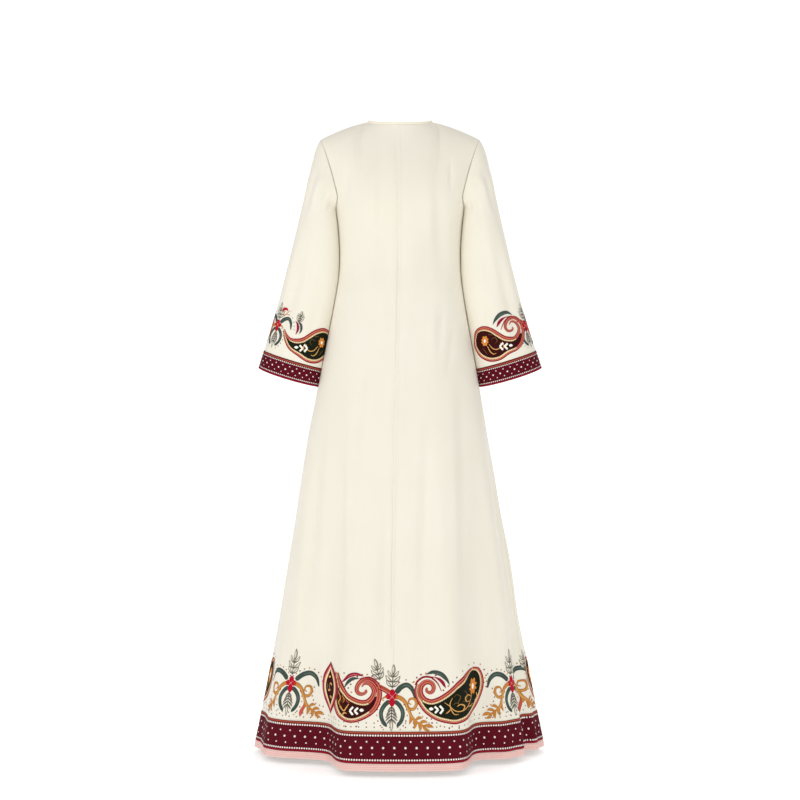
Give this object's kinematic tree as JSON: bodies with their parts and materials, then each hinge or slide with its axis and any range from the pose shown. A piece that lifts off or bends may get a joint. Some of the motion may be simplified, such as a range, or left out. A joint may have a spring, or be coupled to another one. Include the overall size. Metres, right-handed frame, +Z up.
{
  "type": "kaftan",
  "caption": "Floor-length cream kaftan in its hollow worn form: flared skirt, long flared sleeves, round neck, burgundy bands at hem and cuffs.",
  "frame": {"origin": "midway between the two neck points, at the top of the shoulders, where the wearer's shoulders hold it", "axes": "+Z up the garment, -Y out of its front, +X towards the wearer's left"},
  "size_m": [0.6736, 0.4977, 1.4462],
  "materials": {
    "cream_crepe": "smooth matt crepe with a soft sheen and printed or embroidered border motifs",
    "burgundy_band": "matt woven band with stitched dots and lines",
    "blush_binding": "satin binding with a soft sheen",
    "cream_binding": "narrow bias binding, matt"
  },
  "bodies": {
    "root": {"back_left": "cream_crepe", "back_right": "cream_crepe", "front": "cream_crepe", "sleeve_left": "cream_crepe", "sleeve_right": "cream_crepe", "neck_binding": "cream_binding", "hem_band_back": "burgundy_band", "hem_band_front": "burgundy_band", "cuff_band_left": "burgundy_band", "cuff_band_right": "burgundy_band", "hem_binding_back": "blush_binding", "hem_binding_front": "blush_binding"}
  },
  "joints": []
}
